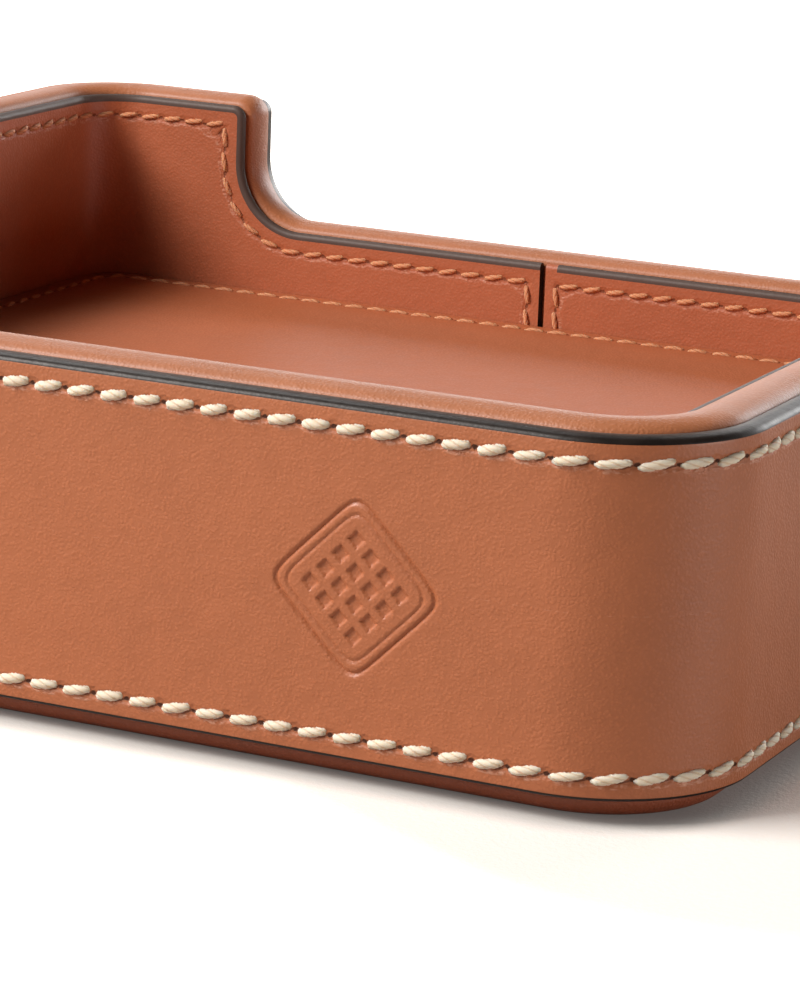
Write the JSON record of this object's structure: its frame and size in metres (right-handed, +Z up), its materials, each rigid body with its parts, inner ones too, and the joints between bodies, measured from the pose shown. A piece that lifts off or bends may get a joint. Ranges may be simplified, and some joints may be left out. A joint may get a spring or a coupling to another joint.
{
  "type": "leather tray",
  "caption": "Desk tray: leather over a board carcass, round corners, domed rim, stitched outer band and lining, with a wide scoop in the rear wall.",
  "frame": {"origin": "on the resting surface, below the middle of the tray", "axes": "+Z up, +Y towards the scooped rear wall, -Y towards the plain front wall, +X to the right seen from the front"},
  "size_m": [0.178, 0.185, 0.0416],
  "materials": {
    "band_leather": "smooth tan leather, fine grain, satin, dark painted edges",
    "rim_leather": "smooth tan leather, satin",
    "lining_leather": "smooth tan leather, satin, dark painted edges",
    "floor_leather": "smooth tan leather, satin",
    "base_leather": "smooth tan leather, satin",
    "thread": "waxed three-ply cream thread",
    "lining_thread": "waxed tan thread",
    "board": "raw dense fibreboard",
    "post": "raw hardwood"
  },
  "bodies": {
    "root": {"outer_band": "band_leather", "rim_wrap": "rim_leather", "lining_band": "lining_leather", "floor_panel": "floor_leather", "base_cover": "base_leather", "front_board": "board", "rear_board": "board", "left_board": "board", "right_board": "board", "base_board": "board", "floor_stiffener": "board", "front_left_post": "post", "front_right_post": "post", "rear_left_post": "post", "rear_right_post": "post"}
  },
  "joints": []
}
